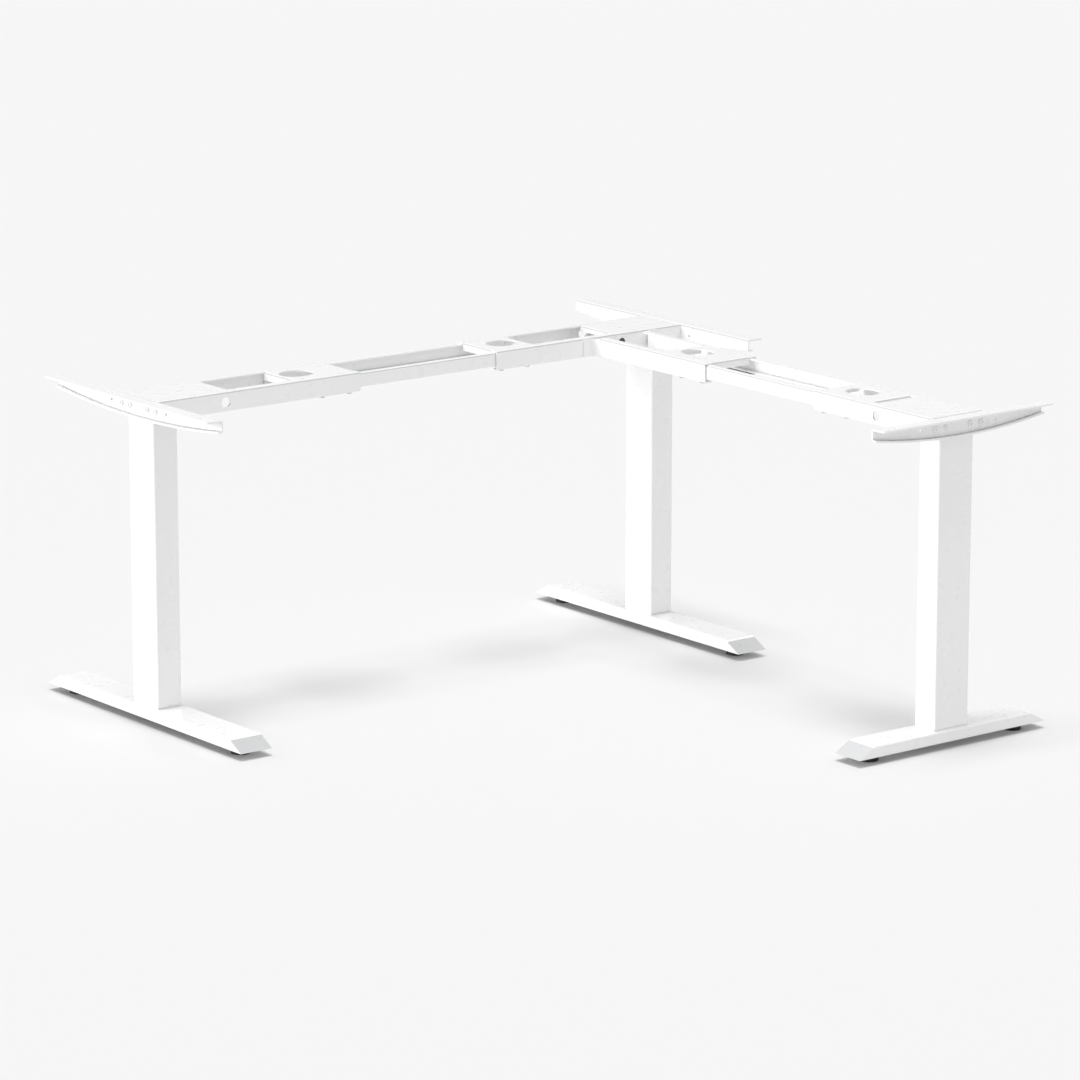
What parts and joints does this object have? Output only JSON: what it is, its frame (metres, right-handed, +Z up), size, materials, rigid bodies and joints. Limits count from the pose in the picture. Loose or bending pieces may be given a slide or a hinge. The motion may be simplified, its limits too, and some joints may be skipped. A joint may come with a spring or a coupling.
{
  "type": "height adjustable standing desk",
  "caption": "L-shaped height adjustable standing desk frame on telescoping legs with telescoping crossbars, side brackets and levelling feet, without a desktop.",
  "frame": {"origin": "on the floor, at the centre of the footprint", "axes": "+X from the left leg to the corner leg, +Y to the back of the main run, +Z up"},
  "size_m": [1.2906, 1.3444, 0.6],
  "materials": {
    "white_powder": "glossy powder coat",
    "black_rubber": "matt",
    "zinc": "zinc plated",
    "nylon": "matt",
    "brass": "machined",
    "steel": "rolled thread, greased",
    "housing": "matt",
    "motor_black": "satin"
  },
  "bodies": {
    "left_base": {"left_foot": "white_powder", "left_foot_screws": "zinc", "left_inner_tube": "white_powder"},
    "left_front_pad": {"left_front_pad": "black_rubber"},
    "left_back_pad": {"left_back_pad": "black_rubber"},
    "left_middle": {"left_middle_tube": "white_powder", "left_middle_glides": "nylon", "left_screw_sleeve": "brass"},
    "left_frame": {"left_column": "white_powder", "left_column_glide": "nylon", "left_gearbox": "housing", "left_motor": "motor_black", "left_motor_cover": "white_powder", "left_end_rails": "white_powder", "left_side_bracket": "white_powder", "left_bracket_bolts": "white_powder", "left_clamp_screws": "zinc"},
    "left_spindle": {"left_spindle": "steel"},
    "corner_base": {"corner_foot": "white_powder", "corner_foot_screws": "zinc", "corner_inner_tube": "white_powder"},
    "corner_front_pad": {"corner_front_pad": "black_rubber"},
    "corner_back_pad": {"corner_back_pad": "black_rubber"},
    "corner_middle": {"corner_middle_tube": "white_powder", "corner_middle_glides": "nylon", "corner_screw_sleeve": "brass"},
    "corner_frame": {"corner_column": "white_powder", "corner_column_glide": "nylon", "corner_gearbox": "housing", "corner_motor": "motor_black", "corner_motor_cover": "white_powder", "corner_end_rails": "white_powder", "corner_side_bracket": "white_powder", "corner_bracket_bolts": "white_powder", "corner_clamp_screws": "zinc", "return_end_rails": "white_powder"},
    "corner_spindle": {"corner_spindle": "steel"},
    "right_base": {"right_foot": "white_powder", "right_foot_screws": "zinc", "right_inner_tube": "white_powder"},
    "right_front_pad": {"right_front_pad": "black_rubber"},
    "right_back_pad": {"right_back_pad": "black_rubber"},
    "right_middle": {"right_middle_tube": "white_powder", "right_middle_glides": "nylon", "right_screw_sleeve": "brass"},
    "right_frame": {"right_column": "white_powder", "right_column_glide": "nylon", "right_gearbox": "housing", "right_motor": "motor_black", "right_motor_cover": "white_powder", "right_end_rails": "white_powder", "right_side_bracket": "white_powder", "right_bracket_bolts": "white_powder", "right_clamp_screws": "zinc"},
    "right_spindle": {"right_spindle": "steel"},
    "main_rails": {"main_inner_rails": "white_powder"},
    "return_rails": {"return_inner_rails": "white_powder"}
  },
  "joints": [
    {"name": "lift", "type": "slide", "parent": "corner_base", "child": "corner_frame", "axis": [0, 0, 1], "range_m": [0, 0.65]},
    {"name": "corner_middle_slide", "type": "slide", "parent": "corner_base", "child": "corner_middle", "axis": [0, 0, 1], "range_m": [0, 0.325]},
    {"name": "main_rails_slide", "type": "slide", "parent": "corner_frame", "child": "main_rails", "axis": [-1, 0, 0], "range_m": [-0.08, 0.04]},
    {"name": "left_frame_slide", "type": "slide", "parent": "main_rails", "child": "left_frame", "axis": [-1, 0, 0], "range_m": [-0.08, 0.04]},
    {"name": "return_rails_slide", "type": "slide", "parent": "corner_frame", "child": "return_rails", "axis": [0, -1, 0], "range_m": [-0.1, 0.06]},
    {"name": "right_frame_slide", "type": "slide", "parent": "return_rails", "child": "right_frame", "axis": [0, -1, 0], "range_m": [-0.03, 0.05]},
    {"name": "left_lift", "type": "slide", "parent": "left_frame", "child": "left_base", "axis": [0, 0, -1], "range_m": [0, 0.65]},
    {"name": "left_middle_slide", "type": "slide", "parent": "left_frame", "child": "left_middle", "axis": [0, 0, -1], "range_m": [0, 0.325]},
    {"name": "right_lift", "type": "slide", "parent": "right_frame", "child": "right_base", "axis": [0, 0, -1], "range_m": [0, 0.65]},
    {"name": "right_middle_slide", "type": "slide", "parent": "right_frame", "child": "right_middle", "axis": [0, 0, -1], "range_m": [0, 0.325]},
    {"name": "left_spindle_turn", "type": "hinge", "parent": "left_frame", "child": "left_spindle", "pos_m": [-0.5863, 0.36075, 0.58], "axis": [0, 0, 1], "range_deg": [0, 9760]},
    {"name": "left_front_pad_screw", "type": "slide", "parent": "left_base", "child": "left_front_pad", "axis": [0, 0, -1], "range_m": [0, 0.01]},
    {"name": "left_back_pad_screw", "type": "slide", "parent": "left_base", "child": "left_back_pad", "axis": [0, 0, -1], "range_m": [0, 0.01]},
    {"name": "corner_spindle_turn", "type": "hinge", "parent": "corner_frame", "child": "corner_spindle", "pos_m": [0.5472, 0.36075, 0.58], "axis": [0, 0, 1], "range_deg": [0, 9760]},
    {"name": "corner_front_pad_screw", "type": "slide", "parent": "corner_base", "child": "corner_front_pad", "axis": [0, 0, -1], "range_m": [0, 0.01]},
    {"name": "corner_back_pad_screw", "type": "slide", "parent": "corner_base", "child": "corner_back_pad", "axis": [0, 0, -1], "range_m": [0, 0.01]},
    {"name": "right_spindle_turn", "type": "hinge", "parent": "right_frame", "child": "right_spindle", "pos_m": [0.4253, -0.61325, 0.58], "axis": [0, 0, 1], "range_deg": [0, 9760]},
    {"name": "right_front_pad_screw", "type": "slide", "parent": "right_base", "child": "right_front_pad", "axis": [0, 0, -1], "range_m": [0, 0.01]},
    {"name": "right_back_pad_screw", "type": "slide", "parent": "right_base", "child": "right_back_pad", "axis": [0, 0, -1], "range_m": [0, 0.01]}
  ],
  "couplings": [
    {"joint": "corner_middle_slide", "follows": "lift", "ratio": 0.5},
    {"joint": "left_lift", "follows": "lift", "ratio": 1},
    {"joint": "left_middle_slide", "follows": "lift", "ratio": 0.5},
    {"joint": "right_lift", "follows": "lift", "ratio": 1},
    {"joint": "right_middle_slide", "follows": "lift", "ratio": 0.5},
    {"joint": "left_spindle_turn", "follows": "lift", "rad_per_m": 261.8},
    {"joint": "corner_spindle_turn", "follows": "lift", "rad_per_m": 261.8},
    {"joint": "right_spindle_turn", "follows": "lift", "rad_per_m": 261.8}
  ]
}
